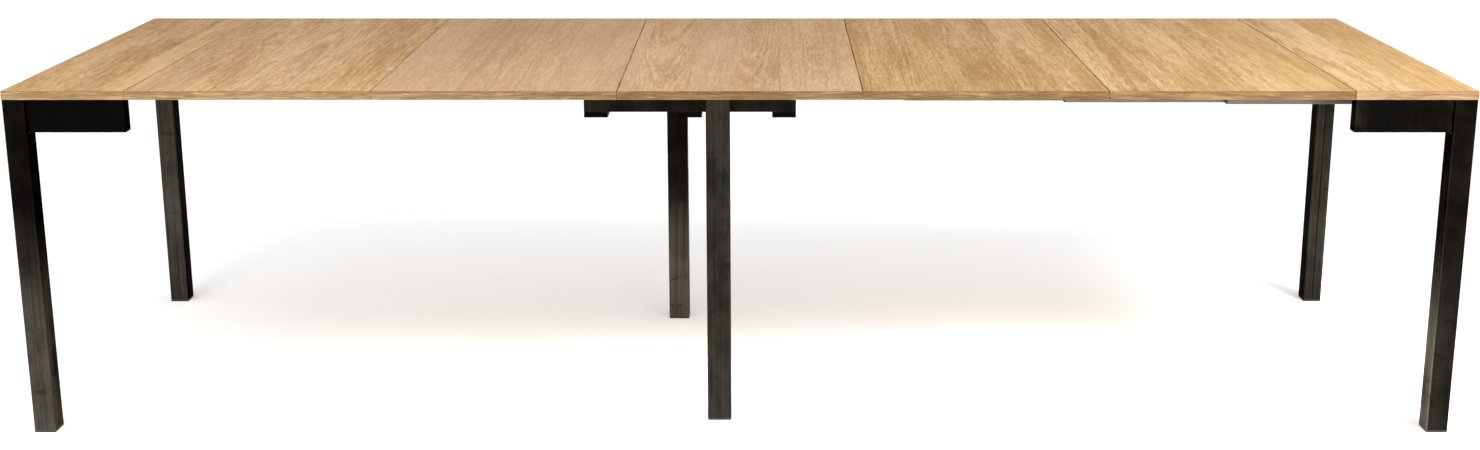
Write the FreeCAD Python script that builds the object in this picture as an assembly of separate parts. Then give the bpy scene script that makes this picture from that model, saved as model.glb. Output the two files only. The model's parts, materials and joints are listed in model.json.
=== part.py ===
"""Extending dining table: two end frames, a centre support, telescopic rails and five loose leaves.

Millimetres, +Z up, +X to the right and the front edge towards -Y. The origin is on the floor under the
middle of the top. The table is modelled fully drawn out, with every leaf in place.
"""
import FreeCAD
import Part
import os

# Top boards
leaf_count = 5
leaf_length = 500.0
end_board_length = 250.0
table_width = 900.0
table_height = 740.0
board_thickness = 18.0
seam_gap = 0.8
edging_thickness = 1.2
edging_round = 0.6

# Corner legs
leg_size = 45.0
leg_wall = 2.0
leg_round = 3.0

# Feet pressed into the open leg tubes
foot_flange = 4.0
foot_stem = 22.0
foot_clearance = 0.2

# Aprons of the end frames
apron_height = 70.0
apron_wall = 2.0
apron_round = 2.5
side_apron_thickness = 30.0
side_apron_inset = 5.5
end_apron_thickness = 20.0
end_apron_setback = 3.0

# Angle brackets under the end boards
bracket_length = 40.0
bracket_reach = 24.0
bracket_drop = 28.0
bracket_plate = 3.0

# Telescopic rails
stages_per_side = 3
rail_height = 38.0
rail_body = 14.0
rail_lane_gap = 4.0
rail_end_room = 4.0
rail_lip = 4.0
rail_slot_depth = 6.0
rib_neck = 7.4
rib_head = 19.4
rail_fit = 0.3
rail_flange = 10.0
rail_screw_inset = 40.0
stop_radius = 4.0
stop_height = 3.2
stop_inset = 10.0
stop_drop = 8.0

# Centre support
support_x = -107.0
support_front_inset = 67.0
support_back_inset = 128.0
support_leg_size = 50.0
support_leg_offset = 59.5
beam_thickness = 15.0
beam_height = 50.0
beam_clearance = 2.0
cross_bar_width = 50.0
cross_bar_height = 12.0
slide_pad_thickness = 13.0

# Screws
screw_radius = 2.0
screw_head_radius = 4.0
screw_head_height = 2.4
screw_bite = 12.0
screw_play = 0.3
thread_play = 0.05
head_play = 0.4
head_recess = 3.0

# Sizes that follow from the ones above
table_length = leaf_count * leaf_length + 2 * end_board_length
half_length = table_length / 2
half_width = table_width / 2
board_underside = table_height - board_thickness
apron_bottom = board_underside - apron_height
rail_bottom = board_underside - rail_height
rail_pitch = rail_body + rail_lane_gap
rail_length = 2 * (end_board_length - end_apron_setback - end_apron_thickness - rail_end_room)
lane_count = 2 * stages_per_side + 3
stack_width = (lane_count - 1) * rail_pitch + rail_body + rail_flange
cross_bar_top = rail_bottom - slide_pad_thickness
cross_bar_bottom = cross_bar_top - cross_bar_height
beam_top = cross_bar_top + beam_height
end_rail_centre = half_length - end_board_length
front_beam_face = -half_width + support_front_inset + support_leg_size
back_beam_face = half_width - support_back_inset - support_leg_size
support_y = (front_beam_face + back_beam_face) / 2
front_stack_start = front_beam_face + beam_thickness + beam_clearance
back_stack_start = back_beam_face - beam_thickness - beam_clearance - stack_width

SIDES = {"left": -1, "right": 1}
ROWS = {"front": front_stack_start, "back": back_stack_start}


def block(low, high):
    """A box between two corners given in any order."""
    near = [min(a, b) for a, b in zip(low, high)]
    size = [abs(a - b) for a, b in zip(low, high)]
    return Part.makeBox(size[0], size[1], size[2], FreeCAD.Vector(near[0], near[1], near[2]))


def edges_along(shape, axis):
    """The straight edges of a box that run along one axis, 0 for X, 1 for Y and 2 for Z."""
    chosen = []
    for edge in shape.Edges:
        start, end = edge.Vertexes[0].Point, edge.Vertexes[-1].Point
        if abs(start[axis] - end[axis]) > max(abs(start[k] - end[k]) for k in range(3) if k != axis):
            chosen.append(edge)
    return chosen


def rounded_block(low, high, axis, radius):
    """A box whose edges along one axis are rounded."""
    solid = block(low, high)
    return solid.makeFillet(radius, edges_along(solid, axis))


def tube(low, high, axis, wall, radius, closed_ends):
    """A rounded rectangular tube along one axis; closed_ends names the ends shut by a welded plate."""
    near = [min(a, b) for a, b in zip(low, high)]
    far = [max(a, b) for a, b in zip(low, high)]
    outer = rounded_block(near, far, axis, radius)
    for k in range(3):
        if k != axis:
            near[k] += wall
            far[k] -= wall
    near[axis] += wall if "low" in closed_ends else -wall
    far[axis] -= wall if "high" in closed_ends else -wall
    return outer.cut(rounded_block(near, far, axis, max(radius - wall, wall / 4)))


def upright_pin(x, y, bottom, top, radius):
    """A vertical round bar, used for screws and for the holes that they pass through."""
    return Part.makeCylinder(radius, top - bottom, FreeCAD.Vector(x, y, bottom))


def screw(x, y, seat, reach):
    """A screw driven upwards: its head hangs below the seat and its shank reaches up from it."""
    head = upright_pin(x, y, seat - screw_head_height, seat, screw_head_radius)
    head = head.makeFillet(screw_head_height / 3, [min(head.Edges, key=lambda e: e.CenterOfMass.z)])
    return head.fuse(upright_pin(x, y, seat, seat + reach, screw_radius)).removeSplitter()


def thread_hole(x, y):
    """The hole that a screw from below leaves in an end board."""
    return upright_pin(x, y, board_underside, board_underside + screw_bite, screw_radius + thread_play)


def save(name, *solids):
    """Writes one named piece, or one group of like pieces."""
    shape = solids[0] if len(solids) == 1 else Part.makeCompound(list(solids))
    shape.exportStep("parts/" + name + ".step")


def edged_board(x_start, x_end, holes):
    """A veneered board core, and the four edging strips glued round it."""
    low = [x_start, -half_width, board_underside]
    high = [x_end, half_width, table_height]
    outline = block(low, high)
    rims = [e for e in outline.Edges if abs(e.Vertexes[0].Z - e.Vertexes[-1].Z) < edging_round]
    outline = outline.makeFillet(edging_round, rims)
    t = edging_thickness
    core = block([low[0] + t, low[1] + t, low[2]], [high[0] - t, high[1] - t, high[2]])
    ring = outline.cut(core)
    front = ring.common(block(low, [high[0], low[1] + t, high[2]]))
    back = ring.common(block([low[0], high[1] - t, low[2]], high))
    left = ring.common(block([low[0], low[1] + t, low[2]], [low[0] + t, high[1] - t, high[2]]))
    right = ring.common(block([high[0] - t, low[1] + t, low[2]], [high[0], high[1] - t, high[2]]))
    for hole in holes:
        core = core.cut(hole)
    strips = [strip.Solids[0] for strip in (front, back, left, right)]
    return core, strips


def foot(x, y, size, wall):
    """A plastic foot: a flange under the tube's end and a stem inside the tube."""
    half = size / 2
    reach = half - wall - foot_clearance
    flange = rounded_block([x - half, y - half, 0], [x + half, y + half, foot_flange], 2, leg_round)
    stem_low = [x - reach, y - reach, foot_flange]
    stem = rounded_block(stem_low, [x + reach, y + reach, foot_flange + foot_stem], 2, leg_round)
    return flange.fuse(stem).removeSplitter()


def leg(x, y, size, top):
    """A square steel leg, open below for its foot and shut above by a welded plate."""
    half = size / 2
    low = [x - half, y - half, foot_flange]
    return tube(low, [x + half, y + half, top], 2, leg_wall, leg_round, ["high"])


def angle_bracket(x, y, across, into):
    """An angle under an end board. It stands on the apron face at x, y and reaches towards `into`."""
    half = bracket_length / 2
    top = board_underside
    if across == "x":
        upright_low, upright_high = [x - half, y], [x + half, y + into * bracket_plate]
        flat_high = [x + half, y + into * bracket_reach]
        hole_x, hole_y = x, y + into * (bracket_reach + bracket_plate) / 2
    else:
        upright_low, upright_high = [x, y - half], [x + into * bracket_plate, y + half]
        flat_high = [x + into * bracket_reach, y + half]
        hole_x, hole_y = x + into * (bracket_reach + bracket_plate) / 2, y
    upright = block(upright_low + [top - bracket_drop], upright_high + [top])
    flat = block(upright_low + [top - bracket_plate], flat_high + [top])
    hole = upright_pin(hole_x, hole_y, top - bracket_drop, top, screw_radius + screw_play)
    return upright.fuse(flat).removeSplitter().cut(hole), hole_x, hole_y


def stop_stud(x, face_y, out):
    """A stop stud riveted to a rail's side. It meets the next rail's stud before the two come apart."""
    base = FreeCAD.Vector(x, face_y, board_underside - stop_drop)
    return Part.makeCylinder(stop_radius, stop_height, base, FreeCAD.Vector(0, out, 0))


def rail(centre_x, start_y, has_slot, back_form):
    """One rail extrusion. A T slot runs along its front face, and a T rib or a flange along its back."""
    middle = rail_height / 2
    neck, head = rib_neck / 2, rib_head / 2
    head_start = rail_pitch + rail_lip + rail_fit
    head_end = rail_pitch + rail_lip + rail_slot_depth - rail_fit
    back = rail_body + rail_flange if back_form == "flange" else rail_body
    outline = [(0, 0), (back, 0)]
    if back_form == "rib":
        outline += [(back, middle - neck), (head_start, middle - neck), (head_start, middle - head)]
        outline += [(head_end, middle - head), (head_end, middle + head)]
        outline += [(head_start, middle + head), (head_start, middle + neck), (back, middle + neck)]
    outline += [(back, rail_height), (0, rail_height)]
    if has_slot:
        mouth, room = neck + rail_fit, head + rail_fit
        depth = rail_lip + rail_slot_depth
        outline += [(0, middle + mouth), (rail_lip, middle + mouth), (rail_lip, middle + room)]
        outline += [(depth, middle + room), (depth, middle - room)]
        outline += [(rail_lip, middle - room), (rail_lip, middle - mouth), (0, middle - mouth)]
    x_start = centre_x - rail_length / 2
    corners = [FreeCAD.Vector(x_start, start_y + y, rail_bottom + z) for y, z in outline]
    face = Part.Face(Part.makePolygon(corners + corners[:1]))
    solid = face.extrude(FreeCAD.Vector(rail_length, 0, 0))
    if has_slot:
        solid = solid.fuse(stop_stud(x_start + rail_length - stop_inset, start_y, -1))
    if back_form == "rib":
        solid = solid.fuse(stop_stud(x_start + stop_inset, start_y + rail_body, 1))
    return solid.removeSplitter()


def make_leaves():
    """The loose leaves, side by side between the two end boards."""
    for number in range(1, leaf_count + 1):
        x_start = -half_length + end_board_length + (number - 1) * leaf_length
        core, strips = edged_board(x_start + seam_gap / 2, x_start + leaf_length - seam_gap / 2, [])
        save("leaf_%d_board" % number, core)
        save("leaf_%d_edging" % number, *strips)


def make_end_frame(side):
    """One end of the table: board, legs, welded aprons, brackets, end rails and their screws."""
    sign = SIDES[side]
    outer = sign * half_length
    inner = sign * (half_length - end_board_length + seam_gap / 2)
    leg_x = sign * (half_length - leg_size / 2)
    leg_y = half_width - leg_size / 2
    leg_face_x = sign * (half_length - leg_size)
    apron_end = sign * (half_length - end_board_length + side_apron_inset)
    feet, brackets, screws, holes = [], [], [], []

    for row, face in (("front", -1), ("back", 1)):
        save("%s_%s_leg" % (side, row), leg(leg_x, face * leg_y, leg_size, board_underside))
        feet.append(foot(leg_x, face * leg_y, leg_size, leg_wall))
        near = face * (leg_y - side_apron_thickness / 2)
        far = face * (leg_y + side_apron_thickness / 2)
        closed = "low" if sign > 0 else "high"
        apron = tube([leg_face_x, near, apron_bottom], [apron_end, far, board_underside], 0,
                     apron_wall, apron_round, [closed])
        save("%s_%s_apron" % (side, row), apron)
        brackets.append(angle_bracket((leg_face_x + apron_end) / 2, near, "x", -face))

    end_face = sign * (half_length - end_apron_setback - end_apron_thickness)
    end_back = sign * (half_length - end_apron_setback)
    reach_y = half_width - leg_size
    end_apron = tube([end_face, -reach_y, apron_bottom], [end_back, reach_y, board_underside], 1,
                     apron_wall, apron_round, [])
    save("%s_end_apron" % side, end_apron)
    brackets.append(angle_bracket(end_face, support_y, "y", -sign))

    for bracket, x, y in brackets:
        screws.append(screw(x, y, board_underside - bracket_plate, bracket_plate + screw_bite))
        holes.append(thread_hole(x, y))

    for row, start in ROWS.items():
        lane = lane_count - 1 if side == "left" else 0
        start_y = start + lane * rail_pitch
        screw_y = start_y + (rail_body + rail_flange / 2 if side == "left" else rail_body / 2)
        back_form = "flange" if side == "left" else "rib"
        piece = rail(sign * end_rail_centre, start_y, side == "left", back_form)
        seat = rail_bottom + head_recess + screw_head_height
        outer_screw = end_rail_centre + rail_length / 2 - rail_screw_inset
        inner_screw = half_length - end_board_length + rail_screw_inset
        for distance in (outer_screw, inner_screw):
            x = sign * distance
            shaft_hole = upright_pin(x, screw_y, rail_bottom, board_underside, screw_radius + screw_play)
            head_hole = upright_pin(x, screw_y, rail_bottom, seat, screw_head_radius + head_play)
            piece = piece.cut(shaft_hole).cut(head_hole)
            screws.append(screw(x, screw_y, seat, board_underside + screw_bite - seat))
            holes.append(thread_hole(x, screw_y))
        save("%s_rail_%s_end" % (row, side), piece)

    core, strips = edged_board(min(inner, outer), max(inner, outer), holes)
    save("%s_end_board" % side, core)
    save("%s_end_edging" % side, *strips)
    save("%s_feet" % side, *feet)
    save("%s_brackets" % side, *[bracket for bracket, x, y in brackets])
    save("%s_screws" % side, *screws)


def make_stage_rails():
    """The rails between the end rails and the centre ones, spread evenly along the opened table."""
    for row, start in ROWS.items():
        for side, sign in SIDES.items():
            for stage in range(1, stages_per_side + 1):
                share = stage / (stages_per_side + 1)
                centre_x = support_x + share * (sign * end_rail_centre - support_x)
                lane = stages_per_side + 1 - sign * stage
                piece = rail(centre_x, start + lane * rail_pitch, True, "rib")
                save("%s_rail_%s_%d" % (row, side, stage), piece)


def make_centre_support():
    """The middle frame: two beams on three cross bars, two legs, and the rails screwed down on pads."""
    reach = rail_length / 2
    bar_places = [-reach + cross_bar_width / 2, 0, reach - cross_bar_width / 2]
    bar_names = ["left", "middle", "right"]
    half_bar = cross_bar_width / 2
    centre_lane = (stages_per_side + 1) * rail_pitch
    pads, screws = [], []
    bars = []
    for place in bar_places:
        x = support_x + place
        bars.append(block([x - half_bar, front_beam_face, cross_bar_bottom],
                          [x + half_bar, back_beam_face, cross_bar_top]))

    for row, start in ROWS.items():
        piece = rail(support_x, start + centre_lane, True, "rib")
        y = start + centre_lane + rail_body / 2
        for index, place in enumerate(bar_places):
            x = support_x + place
            pad = block([x - half_bar, start, cross_bar_top],
                        [x + half_bar, start + stack_width, rail_bottom])
            through = upright_pin(x, y, cross_bar_bottom, rail_bottom, screw_radius + screw_play)
            thread_top = rail_bottom + (rail_height - rib_head) / 2 - rail_lip
            piece = piece.cut(upright_pin(x, y, rail_bottom, thread_top, screw_radius + thread_play))
            bars[index] = bars[index].cut(through)
            pads.append(pad.cut(through))
            screws.append(screw(x, y, cross_bar_bottom, thread_top - cross_bar_bottom))
        save("%s_rail_centre" % row, piece)

    for name, bar in zip(bar_names, bars):
        save("cross_bar_%s" % name, bar)
    save("slide_pads", *pads)
    save("centre_screws", *screws)

    feet = []
    for row, sign, face in (("front", 1, front_beam_face), ("back", -1, back_beam_face)):
        low = [support_x - reach, face, cross_bar_top]
        save("%s_beam" % row, block(low, [support_x + reach, face + sign * beam_thickness, beam_top]))
        x = support_x + sign * support_leg_offset
        y = face - sign * support_leg_size / 2
        save("centre_%s_leg" % row, leg(x, y, support_leg_size, beam_top))
        feet.append(foot(x, y, support_leg_size, leg_wall))
    save("centre_feet", *feet)


os.makedirs("parts", exist_ok=True)
make_leaves()
for end in SIDES:
    make_end_frame(end)
make_stage_rails()
make_centre_support()
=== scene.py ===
"""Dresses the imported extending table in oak, waxed steel and aluminium, and stands it in a plain studio."""

import json
import math

import bmesh
import bpy
from bpy.props import FloatProperty, FloatVectorProperty, IntProperty, PointerProperty
from mathutils import Matrix, Vector


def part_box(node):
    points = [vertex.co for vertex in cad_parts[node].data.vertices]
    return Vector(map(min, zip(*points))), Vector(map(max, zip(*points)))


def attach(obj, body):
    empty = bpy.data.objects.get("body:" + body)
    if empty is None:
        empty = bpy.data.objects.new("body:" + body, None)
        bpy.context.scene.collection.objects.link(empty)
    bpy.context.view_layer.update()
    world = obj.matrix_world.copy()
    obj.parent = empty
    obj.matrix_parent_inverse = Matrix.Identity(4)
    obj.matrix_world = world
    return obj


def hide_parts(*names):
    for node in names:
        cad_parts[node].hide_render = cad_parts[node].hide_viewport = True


bl_info = {
    "name": "Extending Oak Table",
    "version": (1, 0, 0),
    "blender": (4, 5, 0),
    "location": "View3D > Sidebar > Table",
    "description": "Dresses the extending table: oak, waxed steel, rails, caps, screws, welds and studio",
    "category": "Object",
}

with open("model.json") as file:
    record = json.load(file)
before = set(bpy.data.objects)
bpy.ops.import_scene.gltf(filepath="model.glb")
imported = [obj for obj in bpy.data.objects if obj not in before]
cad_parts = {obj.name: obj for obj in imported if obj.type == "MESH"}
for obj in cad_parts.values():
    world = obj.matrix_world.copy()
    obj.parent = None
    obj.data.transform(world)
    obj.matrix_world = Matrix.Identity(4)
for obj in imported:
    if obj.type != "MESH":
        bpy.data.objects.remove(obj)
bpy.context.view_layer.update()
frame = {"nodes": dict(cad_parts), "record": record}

SIDES = ("left", "right")
ROWS = ("front", "back")
CROSS_BARS = ("left", "middle", "right")
LEAVES = ("leaf_1", "leaf_2", "leaf_3", "leaf_4", "leaf_5")
leaf_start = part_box("leaf_1_board")[0].x
leaf_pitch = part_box("leaf_2_board")[0].x - leaf_start

# Distances in metres within which two points are one, and within which a point lies on a face
SAME_POINT = 1e-6
ON_FACE = 1e-5

# Angle in radians between two faces from which their edge is sharp
SHARP_ANGLE = 1.0


# Settings that a user would change

def screen_colour(red, green, blue):
    """A colour read off a screen, from 0 to 255, as the linear colour that shaders use."""
    def linear(level):
        part = level / 255
        return part / 12.92 if part <= 0.04045 else ((part + 0.055) / 1.055) ** 2.4
    return (linear(red), linear(green), linear(blue), 1.0)


def tint(label, about, red, green, blue):
    """A colour setting, given as it looks on a screen."""
    return FloatVectorProperty(name=label, description=about, subtype="COLOR", size=4, min=0.0, max=1.0,
                               default=screen_colour(red, green, blue))


def length(label, about, metres):
    """A length setting."""
    return FloatProperty(name=label, description=about, default=metres, min=0.0, precision=5,
                         subtype="DISTANCE", unit="LENGTH")


def share(label, about, value):
    """A setting from none to all."""
    return FloatProperty(name=label, description=about, default=value, min=0.0, max=1.0, subtype="FACTOR")


def brightness(label, about, value):
    """A brightness setting, which may go past one."""
    return FloatProperty(name=label, description=about, default=value, min=0.0)


def power(label, about, watts):
    """A lamp's power setting."""
    return FloatProperty(name=label, description=about, default=watts, min=0.0, unit="POWER")


class OakFinish(bpy.types.PropertyGroup):
    """The lacquered oak of the boards."""
    dark: tint("Dark grain", "Late wood and streaks", 136, 102, 62)
    middle: tint("Oak", "The boards' main tone", 169, 134, 91)
    light: tint("Light grain", "Early wood and flecks", 198, 166, 125)
    rose: tint("Rosy staves", "Tone of the paler, pinker staves", 181, 151, 122)
    gold: tint("Golden staves", "Tone of the yellower staves", 169, 132, 79)
    pore: tint("Pores", "Tone of the open pores and stave joints", 112, 78, 44)
    stave_width: length("Stave width", "Mean width of the strips that a board is made of", 0.112)
    ring_spacing: length("Ring spacing", "Mean distance between growth rings", 0.0046)
    across_step: length("Step across", "How far the figure moves across the grain, board by board", 0.613)
    along_step: length("Step along", "How far the figure moves along the grain, board by board", 0.29)
    relief: length("Relief", "Depth of the brushed grain", 0.00035)
    roughness: share("Lacquer roughness", "Gloss of the satin lacquer", 0.42)
    reflection: share("Lacquer reflection", "Strength of the lacquer's reflection", 0.06)


class EdgingFinish(bpy.types.PropertyGroup):
    """The oak strips glued to the boards' edges."""
    dark: tint("Dark grain", "Streaks of the edging", 98, 73, 42)
    middle: tint("Edging", "The edging's main tone", 134, 107, 74)
    light: tint("Light grain", "Pale lines of the edging", 170, 142, 108)
    glue_line: length("Glue line", "Width of the dark line where the edging meets the board", 0.0007)
    glue_start: length("Glue start", "How far inside the front edge the glue line starts to show", 0.003)
    glue_full: length("Glue full", "How far inside the front edge the glue line is at its darkest", 0.001)
    stave_width: length("Stave width", "Mean width of the staves that the edging is cut from", 0.3)
    line_spacing: length("Line spacing", "Mean distance between the edging's grain lines", 0.0034)
    board_step: length("Board step", "How far the figure moves from board to board", 0.47)
    roughness: share("Lacquer roughness", "Gloss of the satin lacquer", 0.46)


class SteelFinish(bpy.types.PropertyGroup):
    """The waxed black steel of legs, aprons and beams."""
    black: tint("Waxed black", "Steel under its thickest wax", 12, 10, 9)
    brown: tint("Brown wax", "Warm clouds in the wax", 45, 37, 29)
    # Burnished steel is both steel under thin wax and the painted reflection towards the legs' feet and on
    # their sides; where that share is strongest the colour goes on to the worn-edge colour below
    bare_and_sheen: tint("Burnished steel", "Steel where the wax is thin", 76, 71, 64)
    edge: tint("Worn edges", "Steel on rubbed edges", 112, 108, 100)
    roughness: share("Wax roughness", "Gloss of the wax", 0.36)
    glancing: share("Glancing tint", "Strength of the reflection at a glancing angle", 0.36)
    relief: length("Relief", "Depth of the rolling marks", 0.00012)
    wear_radius: length("Wear radius", "How far from an edge the wax is rubbed off", 0.0022)
    seam_place: share("Tube seam", "Where the right back leg's weld seam runs across its face", 0.5)
    seam_core: length("Seam core", "How far from its middle the seam is fully dark", 0.0008)
    seam_rim: length("Seam rim", "How far from its middle the seam has faded out", 0.0026)


class FittingFinish(bpy.types.PropertyGroup):
    """Rails, caps, feet, pads, screws and welds."""
    aluminium: tint("Rails", "Anodised aluminium", 132, 127, 118)
    rail_relief: length("Rail relief", "Depth of the rails' drawing marks", 0.00006)
    rail_wear: length("Rail wear", "How far from an edge the rails are rubbed bright", 0.0012)
    cap_depth: length("Rail caps", "How far a cap stands out from the rail's end", 0.003)
    cap_rounding: length("Cap rounding", "Rounding of a cap's outer rim", 0.0006)
    cap_clearance: length("Cap clearance", "How far a cap's sides stay inside the rail's", 0.0003)
    plastic: tint("Feet, pads and caps", "Moulded black plastic", 22, 22, 23)
    plastic_relief: length("Plastic relief", "Depth of the moulded texture", 0.00008)
    zinc: tint("Screws", "Zinc plate", 190, 188, 180)
    zinc_relief: length("Zinc relief", "Depth of the zinc's texture", 0.00005)
    weld: tint("Welds", "Waxed weld metal", 20, 18, 16)
    weld_relief: length("Weld relief", "Depth of the welds' texture", 0.0001)
    bead_radius: length("Weld radius", "Size of a weld bead across its corner", 0.0026)
    ripple_pitch: length("Weld ripple", "Distance between a weld bead's ripples", 0.0024)
    socket_width: length("Socket width", "Width across the flats of a screw's hexagon socket", 0.003)
    socket_depth: length("Socket depth", "Depth of a screw's hexagon socket", 0.0013)
    head_sides: IntProperty(name="Head sides", description="Sides of a screw head's rim", default=24,
                            min=12)


class Studio(bpy.types.PropertyGroup):
    """Floor, light and camera."""
    floor: tint("Floor", "Pale studio floor", 246, 246, 246)
    floor_glow: share("Floor glow", "Light that shines up through the floor and softens the shadow", 0.3)
    floor_reach: length("Floor reach", "Distance from the table to the floor's rim", 60.0)
    walls: brightness("Tent walls", "Brightness of the white walls around the table", 1.95)
    ceiling: brightness("Tent ceiling", "Brightness of the ceiling", 0.58)
    back_wall: share("Back wall", "Brightness of the wall behind the table, as a share of the others", 0.2)
    key_power: power("Key light", "Power of the light at the right front", 16.6)
    front_power: power("Front light", "Power of the wide light along the front", 18.0)
    lens: FloatProperty(name="Focal length", description="Camera lens", default=41.651, min=1.0,
                        unit="CAMERA")
    camera_place: FloatVectorProperty(name="Camera place", description="Where the camera stands",
                                      default=(0.0537, -3.8476, 1.4549), subtype="TRANSLATION",
                                      unit="LENGTH")
    camera_tilt: FloatProperty(name="Camera tilt", description="How far the camera looks down",
                               default=math.radians(12.89), subtype="ANGLE", unit="ROTATION")
    shift: FloatVectorProperty(name="Lens shift", description="Sideways and upward shift of the frame",
                               default=(-0.0178, -0.07), size=2)


# Shader building

def feed(tree, socket, value):
    """Links a socket to an input, or sets the input to a plain value."""
    if isinstance(value, bpy.types.NodeSocket):
        tree.links.new(value, socket)
    else:
        socket.default_value = value


def add(tree, kind, inputs=None, **settings):
    """A shader node with its settings and with the inputs that are given by name or number."""
    made = tree.nodes.new("ShaderNode" + kind)
    for name, value in settings.items():
        setattr(made, name, value)
    for name, value in (inputs or {}).items():
        feed(tree, made.inputs[name], value)
    return made


def calc(tree, operation, *values):
    """The result of a math node."""
    made = add(tree, "Math", operation=operation)
    for socket, value in zip(made.inputs, values):
        feed(tree, socket, value)
    return made.outputs[0]


def spread(tree, value, low, high, to_low=0.0, to_high=1.0):
    """A value mapped smoothly from one range to another."""
    inputs = {"Value": value, "From Min": low, "From Max": high, "To Min": to_low, "To Max": to_high}
    return add(tree, "MapRange", inputs, interpolation_type="SMOOTHSTEP").outputs[0]


def between(tree, draw, low, high):
    """A value from low to high for a draw from 0 to 1."""
    return calc(tree, "MULTIPLY_ADD", draw, high - low, low)


def mixed(tree, factor, first, second):
    """Two colours mixed by a factor; the numbers are the places of the mix node's colour sockets."""
    return add(tree, "Mix", {0: factor, 6: first, 7: second}, data_type="RGBA").outputs[2]


def scaled(colour, factor):
    """A plain colour made darker or brighter."""
    return tuple(min(1.0, level * factor) for level in colour[:3]) + (1.0,)


def ramp(tree, value, stops, blend="LINEAR"):
    """A colour ramp through (place, colour) stops."""
    made = add(tree, "ValToRGB", {"Fac": value})
    made.color_ramp.interpolation = blend
    points = made.color_ramp.elements
    while len(points) < len(stops):
        points.new(1.0)
    for point, (place, colour) in zip(points, stops):
        point.position = place
        point.color = colour
    return made.outputs["Color"]


def joined(tree, x, y, z):
    """A vector from three values."""
    return add(tree, "CombineXYZ", {"X": x, "Y": y, "Z": z}).outputs[0]


def noise(tree, vector, detail=2.0, roughness=0.5, scale=1.0):
    """The grey level of a noise texture."""
    inputs = {"Vector": vector, "Scale": scale, "Detail": detail, "Roughness": roughness}
    return add(tree, "TexNoise", inputs).outputs[0]


def stretched(tree, vector, scale):
    """A vector stretched by a mapping node."""
    return add(tree, "Mapping", {"Vector": vector, "Scale": scale}).outputs[0]


def object_place(tree):
    """The object coordinates as a vector."""
    return add(tree, "TexCoord").outputs["Object"]


def split(tree, vector):
    """A vector's three values, named X, Y and Z."""
    return add(tree, "SeparateXYZ", {"Vector": vector}).outputs


def new_group(name, inputs, outputs):
    """An empty shader node group with named float or vector inputs and float outputs."""
    group = bpy.data.node_groups.new(name, "ShaderNodeTree")
    for label, kind in inputs:
        group.interface.new_socket(label, in_out="INPUT", socket_type="NodeSocket" + kind)
    for label in outputs:
        group.interface.new_socket(label, in_out="OUTPUT", socket_type="NodeSocketFloat")
    entry = group.nodes.new("NodeGroupInput").outputs
    leave = group.nodes.new("NodeGroupOutput").inputs
    return group, entry, leave


def use_group(tree, name, inputs):
    """A node group placed in a material, with its inputs fed."""
    return add(tree, "Group", inputs, node_tree=bpy.data.node_groups[name]).outputs


def new_finish(name):
    """An empty material and its principled shader."""
    material = bpy.data.materials.new(name)
    material.use_nodes = True
    tree = material.node_tree
    tree.nodes.clear()
    shader = add(tree, "BsdfPrincipled")
    output = add(tree, "OutputMaterial")
    tree.links.new(shader.outputs[0], output.inputs["Surface"])
    return material, tree, shader


def set_relief(tree, shader, height, depth, strength):
    """Feeds a height to the shader's normal through a bump node."""
    bump = add(tree, "Bump", {"Height": height, "Distance": depth, "Strength": strength})
    tree.links.new(bump.outputs[0], shader.inputs["Normal"])


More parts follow.
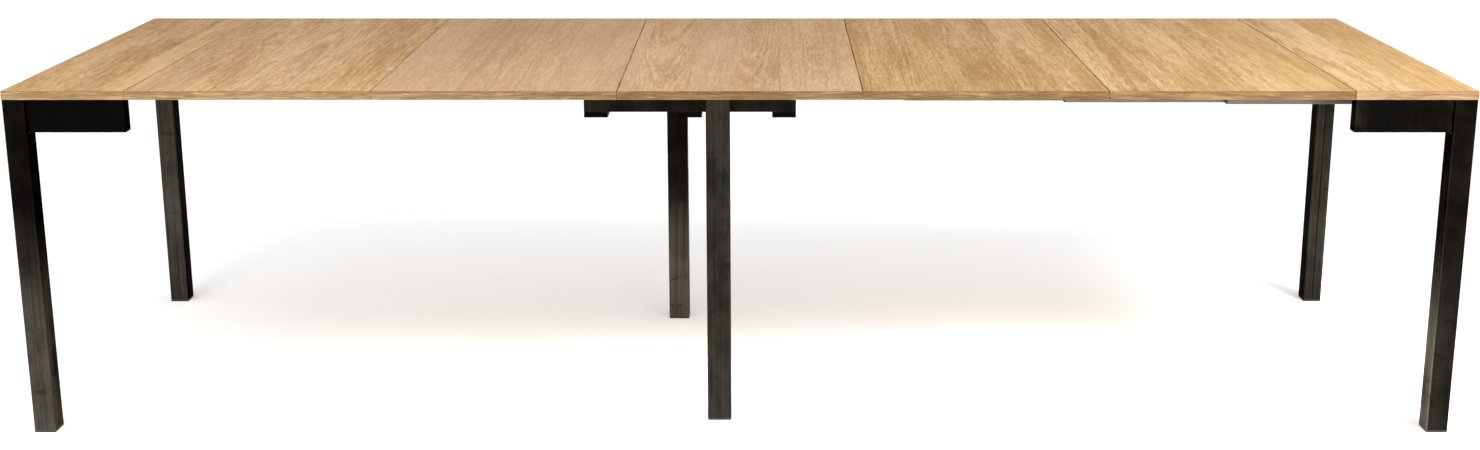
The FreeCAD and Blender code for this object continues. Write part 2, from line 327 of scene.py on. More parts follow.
def oak_figure_group():
    """Growth rings, streaks, flecks and pores of sawn oak, stave by stave."""
    inputs = [("Across", "Float"), ("Along", "Float"), ("Stave width", "Float"), ("Ring spacing", "Float")]
    outputs = ["Tone", "Stave tone", "Stave hue", "Pores", "Joint", "Relief"]
    tree, given, result = new_group("Oak figure", inputs, outputs)
    across, along = given["Across"], given["Along"]
    # How far apart two staves may lie in the log, in the noise and in the count of rings
    log_reach = 3.7
    noise_reach = 9.0
    ring_reach = 31.0

    # Three draws from 0 to 1 for each stave
    per_metre = calc(tree, "DIVIDE", 1.0, given["Stave width"])
    stave = {"W": across, "Scale": per_metre, "Randomness": 0.8}
    cells = add(tree, "TexVoronoi", stave, voronoi_dimensions="1D")
    rims = add(tree, "TexVoronoi", stave, voronoi_dimensions="1D", feature="DISTANCE_TO_EDGE")
    draws = add(tree, "SeparateColor", {"Color": cells.outputs["Color"]}).outputs
    draw_a, draw_b, draw_c = draws[0], draws[1], draws[2]
    run = calc(tree, "MULTIPLY_ADD", draw_a, log_reach, along)

    def grain_noise(per_across, per_along, seed, detail, roughness=0.5):
        """Noise drawn out along the grain."""
        vector = joined(tree, calc(tree, "MULTIPLY", across, per_across),
                        calc(tree, "MULTIPLY", run, per_along), calc(tree, "MULTIPLY", seed, noise_reach))
        return noise(tree, vector, detail, roughness)

    # Growth rings around a pith that lies beside and below the stave, at a depth that changes along it
    warp = between(tree, grain_noise(9.0, 1.5, draw_b, 3.0), -0.03, 0.03)
    wobble = between(tree, grain_noise(52.0, 11.0, draw_c, 2.0), -0.005, 0.005)
    from_middle = calc(tree, "SUBTRACT", across, cells.outputs["W"])
    from_middle = calc(tree, "ADD", calc(tree, "ADD", from_middle, warp), wobble)
    pith = between(tree, draw_a, -0.1, 0.1)
    slope = between(tree, draw_c, -0.03, 0.03)
    depth = calc(tree, "MULTIPLY_ADD", slope, along, between(tree, draw_b, 0.06, 0.11))
    sideways = calc(tree, "SUBTRACT", from_middle, pith)
    reach = calc(tree, "MULTIPLY_ADD", sideways, sideways, calc(tree, "MULTIPLY", depth, depth))
    ring_count = calc(tree, "DIVIDE", calc(tree, "SQRT", reach), given["Ring spacing"])
    ring_count = calc(tree, "MULTIPLY_ADD", draw_a, ring_reach, ring_count)
    ring_noise = {"W": ring_count, "Scale": 1.0, "Detail": 2.0, "Roughness": 0.6}
    rings = add(tree, "TexNoise", ring_noise, noise_dimensions="1D").outputs[0]
    broken = between(tree, grain_noise(90.0, 12.0, draw_a, 1.0), 0.2, 1.0)
    rings = calc(tree, "MULTIPLY_ADD", calc(tree, "SUBTRACT", rings, 0.5), broken, 0.5)

    # Streaks, fibres, flecks and pores, all drawn out along the grain
    streak = grain_noise(64.0, 6.5, draw_a, 4.0, 0.6)
    broad = grain_noise(11.0, 2.0, draw_b, 3.0, 0.55)
    curl = grain_noise(130.0, 22.0, draw_c, 4.0, 0.6)
    fibre = grain_noise(480.0, 9.0, draw_c, 2.0)
    fleck = spread(tree, grain_noise(380.0, 30.0, draw_b, 2.0), 0.56, 0.72)
    pores = spread(tree, grain_noise(1000.0, 26.0, draw_c, 1.0), 0.54, 0.68)

    tone = 0.0
    for part, weight in ((rings, 0.36), (streak, 0.18), (broad, 0.3), (curl, 0.22), (fibre, 0.16),
                         (fleck, 0.12), (pores, -0.1)):
        tone = calc(tree, "MULTIPLY_ADD", part, weight, tone)
    relief = calc(tree, "MULTIPLY_ADD", pores, -0.8, calc(tree, "MULTIPLY_ADD", fibre, 0.4, rings))
    joint = spread(tree, rims.outputs["Distance"], 0.0, 0.006, 1.0, 0.0)
    for label, value in zip(outputs, (tone, draw_b, draw_c, pores, joint, relief)):
        feed(tree, result[label], value)


def waxed_steel_group():
    """Clouds, rolling streaks, grain and scuffs of waxed steel."""
    outputs = ["Cloud", "Streak", "Grain", "Scuff"]
    tree, given, result = new_group("Waxed steel", [("Place", "Vector")], outputs)
    place = given["Place"]
    cloud = noise(tree, stretched(tree, place, (13.0, 13.0, 8.0)), 5.0, 0.65)
    streak = noise(tree, stretched(tree, place, (170.0, 170.0, 2.4)), 3.0, 0.55)
    grain = noise(tree, stretched(tree, place, (900.0, 900.0, 300.0)), 2.0)
    scuff = spread(tree, noise(tree, stretched(tree, place, (26.0, 26.0, 64.0)), 3.0, 0.6), 0.6, 0.74)
    for label, value in zip(outputs, (cloud, streak, grain, scuff)):
        feed(tree, result[label], value)


def edge_wear_group():
    """Where hands and cloths rub: a mask along the edges, broken up by noise."""
    tree, given, result = new_group("Edge wear", [("Place", "Vector"), ("Radius", "Float")], ["Wear"])
    rounded = add(tree, "Bevel", {"Radius": given["Radius"]}, samples=4)
    flat = add(tree, "NewGeometry").outputs["Normal"]
    turn = add(tree, "VectorMath", {0: rounded.outputs[0], 1: flat}, operation="DOT_PRODUCT")
    rim = spread(tree, turn.outputs["Value"], 0.99, 0.86)
    patch = spread(tree, noise(tree, given["Place"], 3.0, 0.6, 38.0), 0.36, 0.62)
    feed(tree, result["Wear"], calc(tree, "MULTIPLY", rim, patch))


def paint(names, material):
    """Gives CAD nodes a material."""
    for name in names:
        node = frame["nodes"][name]
        if not node.material_slots:
            node.data.materials.append(material)
        for slot in node.material_slots:
            slot.material = material


# Oak

# Tones of the darkest and of the lightest grain
BOARD_RANGE = (0.52, 0.84)
EDGING_RANGE = (0.64, 1.08)
BOARD_SHARES = ("light", "rosy", "edging")
BOARD_WOOD = {
    "left_end": {"light": 0.68, "rosy": 0.25, "edging": 0.66},
    "leaf_1": {"light": 0.52, "rosy": 0.48, "edging": 0.55},
    "leaf_2": {"light": 0.3, "rosy": 0.85, "edging": 0.46},
    "leaf_3": {"light": 0.6, "rosy": 1.0, "edging": 0.3},
    "leaf_4": {"light": 0.4, "rosy": 0.0, "edging": 0.25},
    "leaf_5": {"light": 0.54, "rosy": 0.15, "edging": 0.28},
    "right_end": {"light": 0.68, "rosy": 0.12, "edging": 0.57},
}


def leaf_number(tree, x):
    """Which board a point belongs to, counted along the table from minus one at the left end."""
    return calc(tree, "FLOOR", calc(tree, "DIVIDE", calc(tree, "SUBTRACT", x, leaf_start), leaf_pitch))


def board_tones(tree, board):
    """Each board's share of light wood and of rosy staves, and how light its edging is drawn: lighter on the
    end boards, darker on the middle leaves.
    """
    count = len(BOARD_WOOD)
    # Boards count from minus one, and each is read in the middle of its stop
    place = calc(tree, "DIVIDE", calc(tree, "ADD", board, 1.5), count)
    stops = []
    for index, wood in enumerate(BOARD_WOOD.values()):
        shares = [wood[label] for label in BOARD_SHARES]
        stops.append((index / count, (*shares, 1.0)))
    parts = add(tree, "SeparateColor", {"Color": ramp(tree, place, stops, "CONSTANT")}).outputs
    return dict(zip(BOARD_SHARES, parts))


class TABLE_OT_lay_oak_boards(bpy.types.Operator):
    """Finishes the leaves and the end boards in lacquered oak"""
    bl_idname = "table.lay_oak_boards"
    bl_label = "Lay oak boards"

    def execute(self, context):
        oak = context.scene.table_oak
        oak_figure_group()
        material, tree, shader = new_finish("oak_top")
        place = split(tree, object_place(tree))
        board = leaf_number(tree, place["X"])
        figure = use_group(tree, "Oak figure", {
            "Across": calc(tree, "MULTIPLY_ADD", board, oak.across_step, place["X"]),
            "Along": calc(tree, "MULTIPLY_ADD", board, oak.along_step, place["Y"]),
            "Stave width": oak.stave_width,
            "Ring spacing": oak.ring_spacing,
        })
        tones = board_tones(tree, board)
        tone = calc(tree, "MULTIPLY_ADD", figure["Stave tone"], 0.06, figure["Tone"])
        tone = calc(tree, "MULTIPLY_ADD", tones["light"], 0.12, tone)
        wood = ramp(tree, spread(tree, tone, *BOARD_RANGE),
                    [(0.0, oak.dark), (0.5, oak.middle), (1.0, oak.light)])
        hue = between(tree, tones["rosy"], 0.07, 0.67)
        hue = calc(tree, "MULTIPLY_ADD", figure["Stave hue"], 0.36, hue)
        wood = mixed(tree, spread(tree, hue, 0.4, 0.95, 0.0, 0.6), wood, oak.rose)
        wood = mixed(tree, spread(tree, hue, 0.5, 0.1, 0.0, 0.5), wood, oak.gold)
        lines = calc(tree, "MULTIPLY", figure["Joint"], 0.3)
        lines = calc(tree, "MULTIPLY_ADD", figure["Pores"], 0.2, lines)
        wood = mixed(tree, lines, wood, oak.pore)
        feed(tree, shader.inputs["Base Color"], wood)
        rough = spread(tree, figure["Tone"], 0.45, 0.75, oak.roughness + 0.08, oak.roughness - 0.06)
        feed(tree, shader.inputs["Roughness"], rough)
        shader.inputs["Specular IOR Level"].default_value = oak.reflection
        set_relief(tree, shader, figure["Relief"], oak.relief, 0.35)
        paint([leaf + "_board" for leaf in LEAVES] + [side + "_end_board" for side in SIDES], material)
        return {"FINISHED"}


class TABLE_OT_band_board_edges(bpy.types.Operator):
    """Finishes the edging strips, whose grain runs along the board's edge"""
    bl_idname = "table.band_board_edges"
    bl_label = "Band board edges"

    def execute(self, context):
        edging = context.scene.table_edging
        oak = context.scene.table_oak
        material, tree, shader = new_finish("oak_edging")
        vector = object_place(tree)
        place = split(tree, vector)
        board = leaf_number(tree, place["X"])
        figure = use_group(tree, "Oak figure", {
            "Across": calc(tree, "MULTIPLY_ADD", board, edging.board_step, place["Z"]),
            "Along": calc(tree, "ADD", place["X"], place["Y"]),
            "Stave width": edging.stave_width,
            "Ring spacing": edging.line_spacing,
        })
        cloud = noise(tree, stretched(tree, vector, (3.1, 3.1, 20.0)), 3.0)
        tone = calc(tree, "MULTIPLY_ADD", cloud, 0.25, figure["Tone"])
        # Edging drawn lighter on the end boards and darker on the middle leaves
        tone = calc(tree, "MULTIPLY_ADD", board_tones(tree, board)["edging"], 0.3, tone)
        wood = ramp(tree, spread(tree, tone, *EDGING_RANGE),
                    [(0.0, edging.dark), (0.5, edging.middle), (1.0, edging.light)])
        wood = mixed(tree, calc(tree, "MULTIPLY", figure["Pores"], 0.25), wood, oak.pore)
        # Glue shows as a dark line under the top face, and only along the front and the back
        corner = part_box("leaf_3_edging")[1]
        start = corner.z - 3 * edging.glue_line
        stop = corner.z - edging.glue_line
        glue = spread(tree, place["Z"], start, stop, 0.0, 0.5)
        away = calc(tree, "ABSOLUTE", place["Y"])
        outer = spread(tree, away, corner.y - edging.glue_start, corner.y - edging.glue_full)
        glue = calc(tree, "MULTIPLY", glue, outer)
        wood = mixed(tree, glue, wood, oak.pore)
        feed(tree, shader.inputs["Base Color"], wood)
        rough = spread(tree, tone, *EDGING_RANGE, edging.roughness + 0.06, edging.roughness - 0.06)
        feed(tree, shader.inputs["Roughness"], rough)
        shader.inputs["Specular IOR Level"].default_value = oak.reflection
        set_relief(tree, shader, figure["Relief"], oak.relief, 0.3)
        paint([leaf + "_edging" for leaf in LEAVES] + [side + "_end_edging" for side in SIDES], material)
        return {"FINISHED"}


# Steel

# Per leg: shares of the lighter steel at the foot and at the top, a painted reflection lighter towards the
# foot; brown wax; the turn height; and a side factor, painted light or shade on the side faces
LEG_WAX_AND_REFLECTION = {
    "left_front_leg": {"foot": 0.8, "top": 0.0, "brown": 0.2, "turn": 0.36, "painted_side_light": 1.2},
    "left_back_leg": {"foot": 0.62, "top": 0.45, "brown": 0.4, "painted_side_light": 0.2},
    "right_front_leg": {"foot": 0.17, "top": 0.02, "brown": 0.3, "turn": 0.33, "painted_side_light": 12.0},
    "right_back_leg": {"foot": 0.36, "top": 0.22, "brown": 0.4, "painted_side_light": 0.2},
    "centre_front_leg": {"foot": 0.4, "top": 0.35, "brown": 0.4},
    "centre_back_leg": {"foot": 1.0, "top": 0.0, "brown": 0.3, "turn": 0.24},
}
FRAME_WAX = {
    "left": {"foot": 0.0, "top": 0.0, "brown": 0.0, "worn": 0.1},
    "right": {"foot": 0.0, "top": 0.06, "brown": 0.9, "worn": 0.15},
    "beams": {"foot": 0.0, "top": 0.08, "brown": 0.4, "worn": 0.15},
    "cross_bars": {"foot": 0.0, "top": 0.0, "brown": 0.0, "worn": 0.1},
}
SEAMED_LEG = "right_back_leg"

# Half the height, in metres, over which a leg's foot, lighter with painted reflection, blends into its top
TURN_REACH = 0.13


def waxed_steel(settings, name, foot, top, brown, turn=0.4, painted_side_light=1.0, worn=0.55, seam=None):
    """Waxed steel.

    Foot and top are the shares of burnished steel below and above the height of the turn, which paint a
    reflection that is lighter towards the foot, and the side factor multiplies both on the side faces, where
    it paints light or shade. Brown is the share of brown wax, worn that of the rubbed edges, and seam the
    place of a tube's weld seam.
    """
    material, tree, shader = new_finish(name)
    vector = object_place(tree)
    place = split(tree, vector)
    wax = use_group(tree, "Waxed steel", {"Place": vector})
    wear = use_group(tree, "Edge wear", {"Place": vector, "Radius": settings.wear_radius})["Wear"]
    height = calc(tree, "ADD", place["Z"], between(tree, wax["Cloud"], -0.2, 0.2))
    # Painted reflection: the lighter steel fades from the foot share to the top share about the turn height
    bare_and_sheen = spread(tree, height, turn - TURN_REACH, turn + TURN_REACH, foot, top)
    # Painted light or shade: the side faces get the lighter steel scaled by the side factor
    facing = split(tree, add(tree, "NewGeometry").outputs["Normal"])["X"]
    factors = (
        spread(tree, calc(tree, "ABSOLUTE", facing), 0.3, 0.8, 1.0, painted_side_light),
        spread(tree, wax["Streak"], 0.3, 0.7, 0.6, 1.15),
        spread(tree, wax["Cloud"], 0.3, 0.7, 0.6, 1.4),
        between(tree, wax["Scuff"], 1.0, 0.4),
    )
    for factor in factors:
        bare_and_sheen = calc(tree, "MULTIPLY", bare_and_sheen, factor)
    steel = mixed(tree, spread(tree, wax["Cloud"], 0.36, 0.66, 0.0, brown), settings.black, settings.brown)
    steel = mixed(tree, bare_and_sheen, steel, settings.bare_and_sheen)
    # Where the share passes 1.2 the colour goes on towards the worn-edge colour, which strengthens the
    # painted reflection near the feet and the painted light on the sides
    steel = mixed(tree, spread(tree, bare_and_sheen, 1.2, 2.0, 0.0, 0.8), steel, settings.edge)
    if seam is not None:
        away = calc(tree, "ABSOLUTE", calc(tree, "SUBTRACT", place["X"], seam))
        line = spread(tree, away, settings.seam_core, settings.seam_rim, 0.85, 0.0)
        steel = mixed(tree, line, steel, settings.black)
    steel = mixed(tree, calc(tree, "MULTIPLY", wear, worn), steel, settings.edge)
    feed(tree, shader.inputs["Base Color"], steel)
    rough = spread(tree, wax["Cloud"], 0.35, 0.65, settings.roughness - 0.06, settings.roughness + 0.1)
    feed(tree, shader.inputs["Roughness"], calc(tree, "MULTIPLY_ADD", wax["Scuff"], 0.1, rough))
    shader.inputs["Metallic"].default_value = 1.0
    shader.inputs["Specular Tint"].default_value = (settings.glancing,) * 3 + (1.0,)
    relief = calc(tree, "MULTIPLY_ADD", wax["Streak"], 0.6, wax["Grain"])
    set_relief(tree, shader, relief, settings.relief, 0.25)
    return material


class TABLE_OT_wax_legs(bpy.types.Operator):
    """Finishes the six steel legs, each with its own wax, its own painted reflection lighter towards the
    foot, and on some legs painted light or shade on the sides
    """
    bl_idname = "table.wax_legs"
    bl_label = "Wax steel legs"

    def execute(self, context):
        waxed_steel_group()
        edge_wear_group()
        settings = context.scene.table_steel
        for leg, wax in LEG_WAX_AND_REFLECTION.items():
            seam = None
            if leg == SEAMED_LEG:
                low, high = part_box(leg)
                seam = low.x + (high.x - low.x) * settings.seam_place
            paint([leg], waxed_steel(settings, leg + "_steel", seam=seam, **wax))
        return {"FINISHED"}


class TABLE_OT_wax_frames(bpy.types.Operator):
    """Finishes aprons, brackets, beams and cross bars in waxed steel"""
    bl_idname = "table.wax_frames"
    bl_label = "Wax steel frames"

    def execute(self, context):
        names = {"beams": [row + "_beam" for row in ROWS],
                 "cross_bars": ["cross_bar_" + place for place in CROSS_BARS]}
        parts = ("_front_apron", "_back_apron", "_end_apron", "_brackets")
        for side in SIDES:
            names[side] = [side + part for part in parts]
        for place, wax in FRAME_WAX.items():
            paint(names[place], waxed_steel(context.scene.table_steel, place + "_frame_steel", **wax))
        return {"FINISHED"}


# Fittings

class TABLE_OT_satin_rails(bpy.types.Operator):
    """Finishes the telescopic rails in satin aluminium, drawn along their length"""
    bl_idname = "table.satin_rails"
    bl_label = "Satin rails"

    def execute(self, context):
        fittings = context.scene.table_fittings
        material, tree, shader = new_finish("satin_aluminium")
        vector = object_place(tree)
        drawn = noise(tree, stretched(tree, vector, (5.0, 900.0, 900.0)), 3.0, 0.6)
        cloud = noise(tree, stretched(tree, vector, (7.0, 20.0, 20.0)), 3.0)
        wear = use_group(tree, "Edge wear", {"Place": vector, "Radius": fittings.rail_wear})["Wear"]
        dull = scaled(fittings.aluminium, 0.8)
        bright = scaled(fittings.aluminium, 1.3)
        metal = mixed(tree, spread(tree, drawn, 0.35, 0.65), dull, fittings.aluminium)
        feed(tree, shader.inputs["Base Color"], mixed(tree, wear, metal, bright))
        rough = spread(tree, cloud, 0.35, 0.65, 0.3, 0.42)
        feed(tree, shader.inputs["Roughness"], calc(tree, "MULTIPLY_ADD", drawn, 0.08, rough))
        shader.inputs["Metallic"].default_value = 1.0
        set_relief(tree, shader, drawn, fittings.rail_relief, 0.3)
        paint([name for name in frame["nodes"] if "_rail_" in name], material)
        return {"FINISHED"}


class TABLE_OT_mould_plastic(bpy.types.Operator):
    """Finishes feet and slide pads in finely textured black plastic"""
    bl_idname = "table.mould_plastic"
    bl_label = "Mould plastic"

    def execute(self, context):
        fittings = context.scene.table_fittings
        material, tree, shader = new_finish("black_plastic")
        vector = object_place(tree)
        grain = noise(tree, stretched(tree, vector, (700.0, 700.0, 700.0)), 2.0)
        cloud = noise(tree, stretched(tree, vector, (24.0, 24.0, 24.0)), 3.0)
        scuffed = scaled(fittings.plastic, 2.2)
        colour = mixed(tree, spread(tree, cloud, 0.45, 0.75), fittings.plastic, scuffed)
        feed(tree, shader.inputs["Base Color"], colour)
        feed(tree, shader.inputs["Roughness"], spread(tree, grain, 0.3, 0.7, 0.5, 0.68))
        set_relief(tree, shader, grain, fittings.plastic_relief, 0.4)
        paint(["centre_feet", "slide_pads"] + [side + "_feet" for side in SIDES], material)
        return {"FINISHED"}


def new_piece(name, mesh, material, body):
    """Turns a bmesh into a piece that rides on a body."""
    bmesh.ops.remove_doubles(mesh, verts=mesh.verts, dist=SAME_POINT)
    bmesh.ops.recalc_face_normals(mesh, faces=mesh.faces)
    data = bpy.data.meshes.new(name)
    mesh.to_mesh(data)
    mesh.free()
    data.materials.append(material)
    piece = bpy.data.objects.new(name, data)
    bpy.context.scene.collection.objects.link(piece)
    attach(piece, body)
    return piece


def rail_cap(node, outward, fittings):
    """A cap on one end of a rail: the rail's own end face, drawn in a little and extruded outwards."""
    low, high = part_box(node)
    place = high.x if outward > 0 else low.x
    cap = bmesh.new()
    cap.from_mesh(frame["nodes"][node].data)
    bmesh.ops.remove_doubles(cap, verts=cap.verts, dist=SAME_POINT)
    others = [face for face in cap.faces if any(abs(vert.co.x - place) > ON_FACE for vert in face.verts)]
    bmesh.ops.delete(cap, geom=others, context="FACES")
    skirt = bmesh.ops.inset_region(cap, faces=cap.faces[:], thickness=fittings.cap_clearance,
                                   use_boundary=True, use_even_offset=True)["faces"]
    bmesh.ops.delete(cap, geom=skirt, context="FACES")
    grown = bmesh.ops.extrude_face_region(cap, geom=cap.faces[:])["geom"]
    front = {item for item in grown if isinstance(item, bmesh.types.BMVert)}
    bmesh.ops.translate(cap, verts=list(front), vec=(outward * fittings.cap_depth, 0.0, 0.0))
    bmesh.ops.recalc_face_normals(cap, faces=cap.faces)
    rim = [edge for edge in cap.edges
           if front.issuperset(edge.verts) and edge.calc_face_angle(0.0) > SHARP_ANGLE]
    bmesh.ops.bevel(cap, geom=rim, offset=fittings.cap_rounding, offset_type="OFFSET", segments=2,
                    profile=0.5, affect="EDGES", material=-1)
    return cap


class TABLE_OT_cap_rails(bpy.types.Operator):
    """Closes the ends of the rails with moulded plastic caps"""
    bl_idname = "table.cap_rails"
    bl_label = "Cap rails"

    def execute(self, context):
        fittings = context.scene.table_fittings
        material = bpy.data.materials["black_plastic"]
        for body, members in frame["record"]["behaviour"]["bodies"].items():
            rails = [node for node in members if "_rail_" in node]
            if not rails:
                continue
            mesh = bmesh.new()
            for node in rails:
                for outward in (-1, 1):
                    cap = rail_cap(node, outward, fittings)
                    data = bpy.data.meshes.new("rail_cap")
                    cap.to_mesh(data)
                    cap.free()
                    mesh.from_mesh(data)
                    bpy.data.meshes.remove(data)
            new_piece(body + "_rail_caps", mesh, material, body)
        return {"FINISHED"}


def grow_rim(mesh, rim, move, widen, about):
    """Extrudes a rim of edges, moves it and widens it about a point; returns the new rim."""
    made = bmesh.ops.extrude_edge_only(mesh, edges=rim)["geom"]
    verts = [item for item in made if isinstance(item, bmesh.types.BMVert)]
    bmesh.ops.translate(mesh, verts=verts, vec=move)
    centre = Vector(about) + Vector(move)
    bmesh.ops.scale(mesh, verts=verts, vec=(widen, widen, 1.0), space=Matrix.Translation(-centre))
    return [item for item in made if isinstance(item, bmesh.types.BMEdge)
            and item.verts[0] in verts and item.verts[1] in verts]


def screw_places(node):
    """The boxes of the separate screws in a CAD node of screws."""
    mesh = bmesh.new()
    mesh.from_mesh(frame["nodes"][node].data)
    bmesh.ops.remove_doubles(mesh, verts=mesh.verts, dist=SAME_POINT)
    waiting = set(mesh.verts)
    places = []
    while waiting:
        found = {waiting.pop()}
        fringe = set(found)
        while fringe:
            vert = fringe.pop()
            near = {edge.other_vert(vert) for edge in vert.link_edges} & waiting
            waiting -= near
            fringe |= near
            found |= near
        corners = [vert.co.copy() for vert in found]
        low = Vector([min(corner[axis] for corner in corners) for axis in range(3)])
        high = Vector([max(corner[axis] for corner in corners) for axis in range(3)])
        places.append((low, high))
    mesh.free()
    return sorted(places, key=lambda place: tuple(place[0]))


def socket_screw(mesh, low, high, fittings):
    """A button head screw driven upwards, with a hexagon socket in the head below."""
    centre = (low + high) / 2
    head = (high.x - low.x) / 2
    flat = head * 0.72
    head_height = head * 0.6
    shank = head / 2
    foot = Vector((centre.x, centre.y, low.z))
    corner = fittings.socket_width / math.sqrt(3)
    floor = Matrix.Translation(foot + Vector((0.0, 0.0, fittings.socket_depth)))
    base = bmesh.ops.create_circle(mesh, cap_ends=True, segments=6, radius=corner, matrix=floor)["verts"]
    sides = list({edge for vert in base for edge in vert.link_edges})
    socket = grow_rim(mesh, sides, (0.0, 0.0, -fittings.socket_depth), 1.0, floor.translation)
    ring = bmesh.ops.create_circle(mesh, segments=fittings.head_sides, radius=flat,
                                   matrix=Matrix.Translation(foot))["verts"]
    rim = list({edge for vert in ring for edge in vert.link_edges})
    bmesh.ops.bridge_loops(mesh, edges=socket + rim)
    # How far each ring rises and widens: three over the button, one in to the shank, one up to its tip
    steps = ((0.2 * head_height, 1.2), (0.25 * head_height, 1.1), (0.55 * head_height, 1.052),
             (0.0, shank / head), (high.z - low.z - head_height, 1.0))
    at = foot
    for rise, widen in steps:
        rim = grow_rim(mesh, rim, (0.0, 0.0, rise), widen, at)
        at = at + Vector((0.0, 0.0, rise))
    bmesh.ops.contextual_create(mesh, geom=rim)


class TABLE_OT_drive_screws(bpy.types.Operator):
    """Replaces the plain screws by button heads with hexagon sockets"""
    bl_idname = "table.drive_screws"
    bl_label = "Drive screws"

    def execute(self, context):
        fittings = context.scene.table_fittings
        material, tree, shader = new_finish("zinc_plate")
        vector = object_place(tree)
        cloud = noise(tree, stretched(tree, vector, (300.0, 300.0, 300.0)), 3.0, 0.6)
        dull = scaled(fittings.zinc, 0.55)
        colour = mixed(tree, spread(tree, cloud, 0.35, 0.7), fittings.zinc, dull)
        feed(tree, shader.inputs["Base Color"], colour)
        feed(tree, shader.inputs["Roughness"], spread(tree, cloud, 0.35, 0.65, 0.26, 0.44))
        shader.inputs["Metallic"].default_value = 1.0
        set_relief(tree, shader, cloud, fittings.zinc_relief, 0.3)
        bodies = {
            "left_screws": "left_end",
            "right_screws": "right_end",
            "centre_screws": "centre_support",
        }
        for node, body in bodies.items():
            mesh = bmesh.new()
            for low, high in screw_places(node):
                socket_screw(mesh, low, high, fittings)
            piece = new_piece("socket_" + node, mesh, material, body)
            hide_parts(node)
        return {"FINISHED"}


def weld_bead(mesh, start, end, fittings):
    """A rippled bead along a corner from start to end, tapered at both ends."""
    run = end - start
    turn = run.to_track_quat("Z", "Y").to_matrix().to_4x4()
    steps = 2 * max(4, round(run.length / fittings.ripple_pitch))
    rise = Vector((0.0, 0.0, run.length / steps))
    crest = fittings.bead_radius
    valley = crest * 0.84
    tip = crest * 0.4
    widths = [crest if step % 2 else valley for step in range(steps + 1)]
    widths[0] = tip
    widths[-1] = tip
    first = bmesh.ops.create_circle(mesh, cap_ends=True, segments=10, radius=tip)["verts"]
    rim = list({edge for vert in first for edge in vert.link_edges})
    made = list(first)
    at = Vector((0.0, 0.0, 0.0))
    for before, after in zip(widths, widths[1:]):
        rim = grow_rim(mesh, rim, rise, after / before, at)
        made += list({vert for edge in rim for vert in edge.verts})
        at = at + rise
    bmesh.ops.contextual_create(mesh, geom=rim)
    bmesh.ops.transform(mesh, matrix=Matrix.Translation(start) @ turn, verts=made)


def end_frame_joints(side):
    """Start and end of each weld in an end frame: in the aprons' corners and under the side aprons."""
    joints = []
    end_low, end_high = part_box(side + "_end_apron")
    end_face = end_high.x if side == "left" else end_low.x
    for row in ROWS:
        leg_low, leg_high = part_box("%s_%s_leg" % (side, row))
        low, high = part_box("%s_%s_apron" % (side, row))
        leg_face = leg_high.x if side == "left" else leg_low.x
        inner = high.y if row == "front" else low.y
        joints.append((Vector((leg_face, inner, low.z)), Vector((leg_face, inner, high.z))))
        joints.append((Vector((leg_face, low.y, low.z)), Vector((leg_face, high.y, low.z))))
        meet = end_low.y if row == "front" else end_high.y
        joints.append((Vector((end_face, meet, end_low.z)), Vector((end_face, meet, end_high.z))))
    return joints


def centre_frame_joints():
    """Start and end of each weld in the centre support: legs to beams, and beams to cross bars."""
    joints = []
    for row in ROWS:
        leg_low, leg_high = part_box("centre_%s_leg" % row)
        low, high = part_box("%s_beam" % row)
        face, inner = (low.y, high.y) if row == "front" else (high.y, low.y)
        for x in (leg_low.x, leg_high.x):
            joints.append((Vector((x, face, low.z)), Vector((x, face, high.z))))
        for place in CROSS_BARS:
            bar_low, bar_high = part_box("cross_bar_" + place)
            joints.append((Vector((bar_low.x, inner, low.z)), Vector((bar_high.x, inner, low.z))))
    return joints


class TABLE_OT_weld_joints(bpy.types.Operator):
    """Lays the weld beads that join legs, aprons, beams and cross bars"""
    bl_idname = "table.weld_joints"
    bl_label = "Weld joints"

    def execute(self, context):
        fittings = context.scene.table_fittings
        material, tree, shader = new_finish("waxed_weld")
        vector = object_place(tree)
        wax = use_group(tree, "Waxed steel", {"Place": vector})
        heated = scaled(fittings.weld, 2.4)
        colour = mixed(tree, spread(tree, wax["Grain"], 0.35, 0.7), fittings.weld, heated)
        feed(tree, shader.inputs["Base Color"], colour)
        feed(tree, shader.inputs["Roughness"], spread(tree, wax["Cloud"], 0.35, 0.65, 0.34, 0.5))
        shader.inputs["Metallic"].default_value = 1.0
        set_relief(tree, shader, wax["Grain"], fittings.weld_relief, 0.4)
        frames = [(side + "_welds", side + "_end", end_frame_joints(side)) for side in SIDES]
        frames.append(("centre_welds", "centre_support", centre_frame_joints()))
        for name, body, joints in frames:
            mesh = bmesh.new()
            for start, end in joints:
                weld_bead(mesh, start, end, fittings)
            new_piece(name, mesh, material, body)
        return {"FINISHED"}


# Stage

# Lamps: place and target in metres, sides in metres, and the beam's angle in degrees
LAMPS = {
    "front_light": {
        "place": (-1.0, -1.3, 1.9),
        "target": (-0.9, -0.45, 0.7),
        "width": 2.6,
        "depth": 0.5,
        "beam": 130,
    },
    "key_light": {
        "place": (2.8, -2.2, 2.9),
        "target": (1.6, -0.6, 0.7),
        "width": 1.4,
        "depth": 1.4,
        "beam": 45,
    },
}


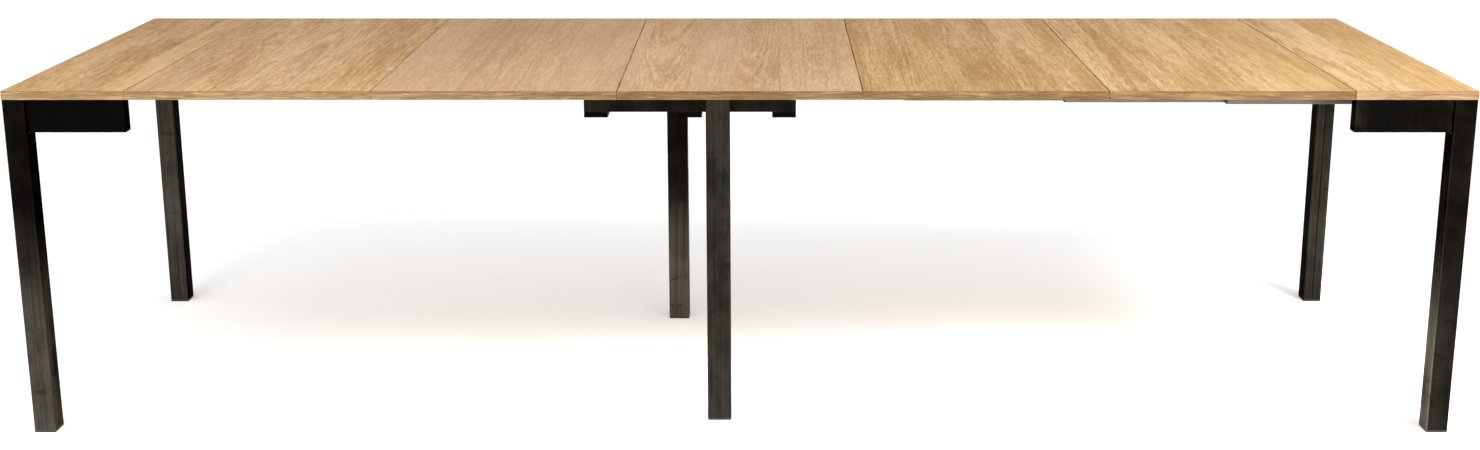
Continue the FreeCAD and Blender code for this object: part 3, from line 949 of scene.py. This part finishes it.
class TABLE_OT_set_studio(bpy.types.Operator):
    """Lays the pale floor, hangs the soft lights and sets the camera"""
    bl_idname = "table.set_studio"
    bl_label = "Set studio"

    def execute(self, context):
        studio = context.scene.table_studio
        self.lay_floor(studio)
        self.hang_lights(context, studio)
        self.set_camera(context, studio)
        return {"FINISHED"}

    def lay_floor(self, studio):
        """A wide pale disc."""
        material, tree, shader = new_finish("studio_floor")
        vector = object_place(tree)
        haze = noise(tree, stretched(tree, vector, (0.8, 0.8, 0.8)), 3.0)
        shade = scaled(studio.floor, 0.97)
        feed(tree, shader.inputs["Base Color"], mixed(tree, haze, studio.floor, shade))
        shader.inputs["Roughness"].default_value = 0.9
        shader.inputs["Specular IOR Level"].default_value = 0.1
        shader.inputs["Emission Color"].default_value = studio.floor
        shader.inputs["Emission Strength"].default_value = studio.floor_glow
        mesh = bmesh.new()
        bmesh.ops.create_circle(mesh, cap_ends=True, segments=128, radius=studio.floor_reach)
        data = bpy.data.meshes.new("studio_floor")
        mesh.to_mesh(data)
        mesh.free()
        data.materials.append(material)
        floor = bpy.data.objects.new("studio_floor", data)
        bpy.context.scene.collection.objects.link(floor)

    def hang_lights(self, context, studio):
        """A white light tent, a wide light along the front and a key light at the right front."""
        world = bpy.data.worlds.new("studio_surround")
        world.use_nodes = True
        tree = world.node_tree
        surround = tree.nodes["Background"]
        surround.inputs["Color"].default_value = (1.0, 1.0, 1.0, 1.0)
        toward = split(tree, add(tree, "TexCoord").outputs["Generated"])
        walls = spread(tree, toward["Z"], 0.45, 0.95, studio.walls, studio.ceiling)
        walls = calc(tree, "MULTIPLY", walls, spread(tree, toward["Y"], -0.1, 0.6, 1.0, studio.back_wall))
        # Behind the table the camera sees plain white, however dim a wall is
        seen = add(tree, "LightPath").outputs["Is Camera Ray"]
        feed(tree, surround.inputs["Strength"], calc(tree, "MAXIMUM", walls, seen))
        context.scene.world = world
        powers = {"front_light": studio.front_power, "key_light": studio.key_power}
        for name, hung in LAMPS.items():
            light = bpy.data.lights.new(name, "AREA")
            light.shape = "RECTANGLE"
            light.size = hung["width"]
            light.size_y = hung["depth"]
            light.energy = powers[name]
            light.spread = math.radians(hung["beam"])
            lamp = bpy.data.objects.new(name, light)
            lamp.location = hung["place"]
            aim = Vector(hung["target"]) - Vector(hung["place"])
            lamp.rotation_euler = aim.to_track_quat("-Z", "Y").to_euler()
            context.scene.collection.objects.link(lamp)
        context.scene.view_settings.view_transform = "Standard"
        context.scene.view_settings.look = "None"

    def set_camera(self, context, studio):
        """The photograph's view of the table."""
        camera = bpy.data.cameras.new("table_camera")
        camera.sensor_fit = "HORIZONTAL"
        camera.lens = studio.lens
        camera.shift_x, camera.shift_y = studio.shift
        stand = bpy.data.objects.new("table_camera", camera)
        stand.location = studio.camera_place
        stand.rotation_euler = (math.pi / 2 - studio.camera_tilt, 0.0, 0.0)
        context.scene.collection.objects.link(stand)
        context.scene.camera = stand


# Sidebar and registration

OPERATORS = (
    TABLE_OT_lay_oak_boards,
    TABLE_OT_band_board_edges,
    TABLE_OT_wax_legs,
    TABLE_OT_wax_frames,
    TABLE_OT_satin_rails,
    TABLE_OT_mould_plastic,
    TABLE_OT_cap_rails,
    TABLE_OT_drive_screws,
    TABLE_OT_weld_joints,
    TABLE_OT_set_studio,
)
SETTINGS = {
    "table_oak": OakFinish,
    "table_edging": EdgingFinish,
    "table_steel": SteelFinish,
    "table_fittings": FittingFinish,
    "table_studio": Studio,
}


class TABLE_PT_sidebar(bpy.types.Panel):
    """Lists the table's operators and settings"""
    bl_idname = "TABLE_PT_sidebar"
    bl_label = "Extending Table"
    bl_space_type = "VIEW_3D"
    bl_region_type = "UI"
    bl_category = "Table"

    def draw(self, context):
        layout = self.layout
        for operator in OPERATORS:
            layout.operator(operator.bl_idname)
        for name, group in SETTINGS.items():
            box = layout.box()
            settings = getattr(context.scene, name)
            for label in group.__annotations__:
                box.prop(settings, label)


CLASSES = (*SETTINGS.values(), *OPERATORS, TABLE_PT_sidebar)


def register():
    """Registers the classes and hangs the settings on the scene."""
    for each in CLASSES:
        bpy.utils.register_class(each)
    for name, group in SETTINGS.items():
        setattr(bpy.types.Scene, name, PointerProperty(type=group))


def unregister():
    """Takes the settings and the classes away again."""
    for name in SETTINGS:
        delattr(bpy.types.Scene, name)
    for each in reversed(CLASSES):
        bpy.utils.unregister_class(each)


def main():
    """Registers the add-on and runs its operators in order."""
    register()
    bpy.ops.table.lay_oak_boards()
    bpy.ops.table.band_board_edges()
    bpy.ops.table.wax_legs()
    bpy.ops.table.wax_frames()
    bpy.ops.table.satin_rails()
    bpy.ops.table.mould_plastic()
    bpy.ops.table.cap_rails()
    bpy.ops.table.drive_screws()
    bpy.ops.table.weld_joints()
    bpy.ops.table.set_studio()


if __name__ == "__main__":
    main()
